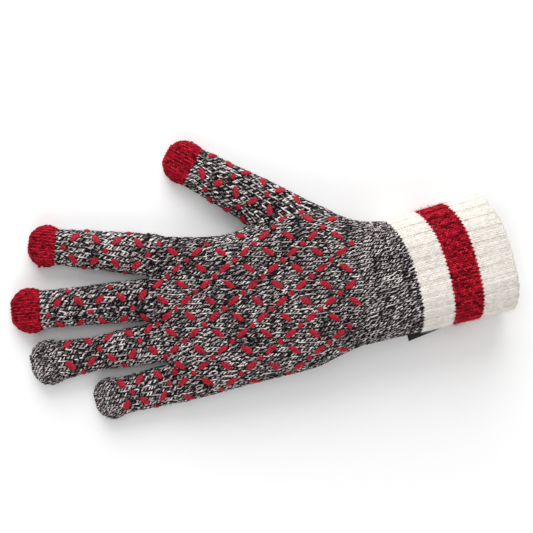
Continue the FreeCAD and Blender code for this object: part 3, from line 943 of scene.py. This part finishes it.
def build_cuff():
    count = CUFF_WALES
    bands = (
        ("cuff_near_band", 0.0, STRIPE[0], CREAM, cream_pick, CREAM_BACK, "cuff_band_inner", "cream_rib"),
        ("cuff_red_stripe", STRIPE[0], STRIPE[1], RED, red_legs_painted_pits, RED_BACK_PAINTED_SHADE, "cuff_stripe", "red_rib"),
        ("cuff_far_band", STRIPE[1], CUFF_END, CREAM, cream_pick, CREAM_BACK, "cuff_band_outer", "cream_rib"),
    )
    for i, (name, a, b, shades, pick, back, node, slot) in enumerate(bands):
        builder = Builder()
        st = tube_stitches("cuff", cuff, count, a, b, COURSE["cuff"], -1, 300 + i, rise=rib)
        lay_plain(builder, st, pick, 300 + i, thick=STRIPE_YARN if shades is RED else CREAM_YARN)
        columns = 2 * count
        s = np.linspace(a - 0.6, b + 0.6, int((b - a) / 1.2) + 2)[:, None]
        share = np.arange(columns)[None] / columns - 0.5
        rise = rib(np.arange(columns) // 2)[None]
        outer = cuff.point(s, share * cuff.around(s), rise - (1.15 if shades is RED else 1.0))[0]
        inner = cuff.point(s, share * cuff.around(s), 0.5 * rise - CUFF_WALL - 0.3)[0]
        builder.grid(outer, len(shades), wrap=True)
        builder.grid(inner[:, ::-1], len(shades), wrap=True)
        bright = [len(shades) - 1, len(shades) - 2]
        builder.legs(*fibres(cuff, "cuff", a, b, 4200, bright, FIBRE_LENGTH["cuff"], 320 + i), sides=3)
        if shades is RED:
            for j, (first, last) in enumerate(((a - 1.4, a), (b, b + 2.2))):
                strays = fibres(cuff, "cuff", first, last, 240, [3], FIBRE_LENGTH["edge"], 330 + j)
                builder.legs(*strays, sides=3)
        piece = builder.piece(name, [*shades, back], slot)
        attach(piece, "cuff")
        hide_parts(node)
    build_rim(count)


def build_rim(count):
    """The bound-off edge: a rolled row of slanted stitches around the opening."""
    builder = Builder()
    rng = np.random.default_rng(340)
    wale = np.arange(count)
    spread = np.linspace(-0.6, 0.6, RINGS)
    for row in range(5):
        angle = math.pi * (0.08 + 0.84 * row / 4)
        lift = -1.5 + 1.0 * math.cos(angle)
        out = 0.5 * math.sin(angle) + 0.35 * rib(wale)[:, None]
        share = (wale[:, None] + 0.5 + spread) / count - 0.5
        s = CUFF_END + out + 0.5 * spread + rng.normal(size=(count, 1)) * 0.05
        rise = 0.9 * rib(wale)[:, None]
        p, n = cuff.point(s, share * cuff.around(s), lift + rise + rng.normal(size=(count, 1)) * 0.05)
        radii = np.broadcast_to(0.52 * LEG_THICK, s.shape)
        builder.legs(p, n, radii, cream_pick(wale, wale * 0 + row, wale * 0, 341 + row))
    columns = 2 * count
    share = np.arange(columns) / columns - 0.5
    rings = []
    for angle in np.linspace(0, math.pi, 7):
        s = CUFF_END + 0.4 * math.sin(angle)
        rise = 0.6 * rib(np.arange(columns) // 2)
        rings.append(cuff.point(s, share * cuff.around(np.array(s)), -1.6 + 1.0 * math.cos(angle) + rise)[0])
    builder.grid(np.stack(rings), len(CREAM), wrap=True)
    builder.legs(*fibres(cuff, "cuff", CUFF_END - 1, CUFF_END + 0.8, 900, [1, 2], FIBRE_LENGTH["cuff"], 350))
    piece = builder.piece("cuff_rim", [*CREAM, CREAM_BACK], "cream_rib")
    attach(piece, "cuff")
    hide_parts("cuff_edge")


LABEL_START = -8.0  # along the cuff from the hinge


def build_label():
    """The folded woven label that peeks out beside the cuff, blank on both sides."""
    pivot = np.array(hinge("label_flap")["pos_m"]) * 1000
    a = math.radians(CUFF_HEADING)
    along, out = np.array([math.cos(a), math.sin(a), 0]), np.array([math.sin(a), -math.cos(a), 0])
    length, reach, taper, gap = 19.0, 6.4, 0.12, 0.28
    builder = Builder()
    t = np.linspace(LABEL_START, LABEL_START + length, 39)
    turn = np.linspace(-math.pi / 2, math.pi / 2, 9)
    fold = [(reach - gap + gap * math.cos(v), gap * math.sin(v)) for v in turn]
    lower = [(x, -gap) for x in np.linspace(0.6, reach - gap, 12)[:-1]]
    profile = lower + fold + [(x, -z) for x, z in reversed(lower)]
    rows = []
    for x, z in profile:
        wave = 0.12 * np.sin(t / 2.7) * x / reach
        narrowed = x * (1 - taper * (t - LABEL_START) / reach)
        flat = pivot + along * t[:, None] + out * narrowed[:, None]
        rows.append(flat + np.array([0, 0, 1.0]) * (z + wave)[:, None])
    builder.grid(np.stack(rows), 0)
    piece = builder.piece("side_label", [LABEL], "label")
    thick = piece.modifiers.new("thickness", "SOLIDIFY")
    thick.thickness = 0.22 * MM
    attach(piece, "label")
    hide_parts("label_tab")
    builder = Builder()
    for i in range(3):
        start = pivot + along * (2.0 + i * 3.3) + out * 0.35
        centre = start + along * np.linspace(0, 1.8, 4)[:, None] + out * np.array([0, 0.3, 0.3, 0])[:, None]
        radii = np.array([[0.1, 0.2, 0.2, 0.1]])
        builder.legs(centre[None], np.broadcast_to(out, (1, 4, 3)), radii, np.array([0]))
    stitching = builder.piece("label_sewing", [MARL[1]], "thread")
    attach(stitching, "cuff")
    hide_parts("label_stitches")


def build_prints(splits):
    rng = np.random.default_rng(400)
    builders = {}
    for group, tube, s, c, turn, _ in grip_marks():
        key = "palm"
        if group in splits and s > -2.0:
            key = group + ("_near" if s < splits[group] else "_far")
        long, wide = PALM_PAD if group in ("palm", "web") else DIGIT_PAD
        pad(builders.setdefault(key, Builder()), group, tube, s, c, turn, long, wide, rng)
    for key, builder in builders.items():
        piece = builder.piece(key + "_print", [GRIP], "grip")
        name, _, part = key.partition("_")
        if key == "palm":
            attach(piece, "hand")
            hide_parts("palm_grip_dots", "palm_grip_bars")
            continue
        reach = BEND_REACH[name]
        if part == "near":
            bend(piece, hinge(name + "_root_bend"), "hand", name + "_base", reach, reach)
            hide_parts(*nodes_like(name + "_root_fold_grips", name + "_base_grips"))
        else:
            bend(piece, hinge(name + "_middle_bend"), name + "_base", name + "_end", reach, reach)
            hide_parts(*nodes_like(name + "_middle_fold_grips", name + "_end_grips"))


# ---------------------------------------------------------------- studio
FLOOR_SHADE = 0.98
WORLD_STRENGTH = 0.22
LAMPS = (  # name, place, size and power
    ("key_light", (-0.05, 0.95, 0.60), 1.2, 14.5),
    ("fill_light", (0.10, -0.95, 0.60), 1.2, 6.5),
    ("top_light", (-0.2, 0.2, 1.4), 1.0, 5.0),
)
SENSOR = 36.0
CAMERA_RANGE = 0.80
CAMERA_SPAN = 0.2825
CAMERA_FOCUS_Z = 0.014
CAMERA_XY = (0.0014, 0.0071)


def build_studio():
    bpy.ops.mesh.primitive_plane_add(size=6, location=(0, 0, 0))
    floor = bpy.context.object
    floor.name = "studio_floor"
    material, _, _, shader = new_material("studio_paper")
    shader.inputs["Base Color"].default_value = (FLOOR_SHADE, FLOOR_SHADE, FLOOR_SHADE, 1)
    shader.inputs["Roughness"].default_value = 0.9
    floor.data.materials.append(material)
    world = bpy.data.worlds.new("studio_world")
    bpy.context.scene.world = world
    world.use_nodes = True
    world.node_tree.nodes["Background"].inputs[0].default_value = (1, 1, 1, 1)
    world.node_tree.nodes["Background"].inputs[1].default_value = WORLD_STRENGTH
    for name, place, size, power in LAMPS:
        lamp = bpy.data.lights.new(name, "AREA")
        lamp.shape = "DISK"
        lamp.size = size
        lamp.energy = power
        ob = bpy.data.objects.new(name, lamp)
        ob.location = place
        aim = -np.array(place)
        ob.rotation_euler = aim_at(aim)
        bpy.context.scene.collection.objects.link(ob)
    camera = bpy.data.cameras.new("camera")
    camera.sensor_width = SENSOR
    camera.lens = SENSOR * CAMERA_RANGE / CAMERA_SPAN
    ob = bpy.data.objects.new("camera", camera)
    ob.location = (CAMERA_XY[0], CAMERA_XY[1], CAMERA_RANGE + CAMERA_FOCUS_Z)
    bpy.context.scene.collection.objects.link(ob)
    bpy.context.scene.camera = ob
    bpy.context.scene.view_settings.view_transform = "Standard"


def aim_at(direction):
    return Vector(direction).to_track_quat("-Z", "Y").to_euler()


splits = {name: build_digit(name, 10 * (i + 1)) for i, name in enumerate(DIGITS)}
build_palm()
build_wrist()
build_cuff()
build_label()
build_prints(splits)
build_studio()
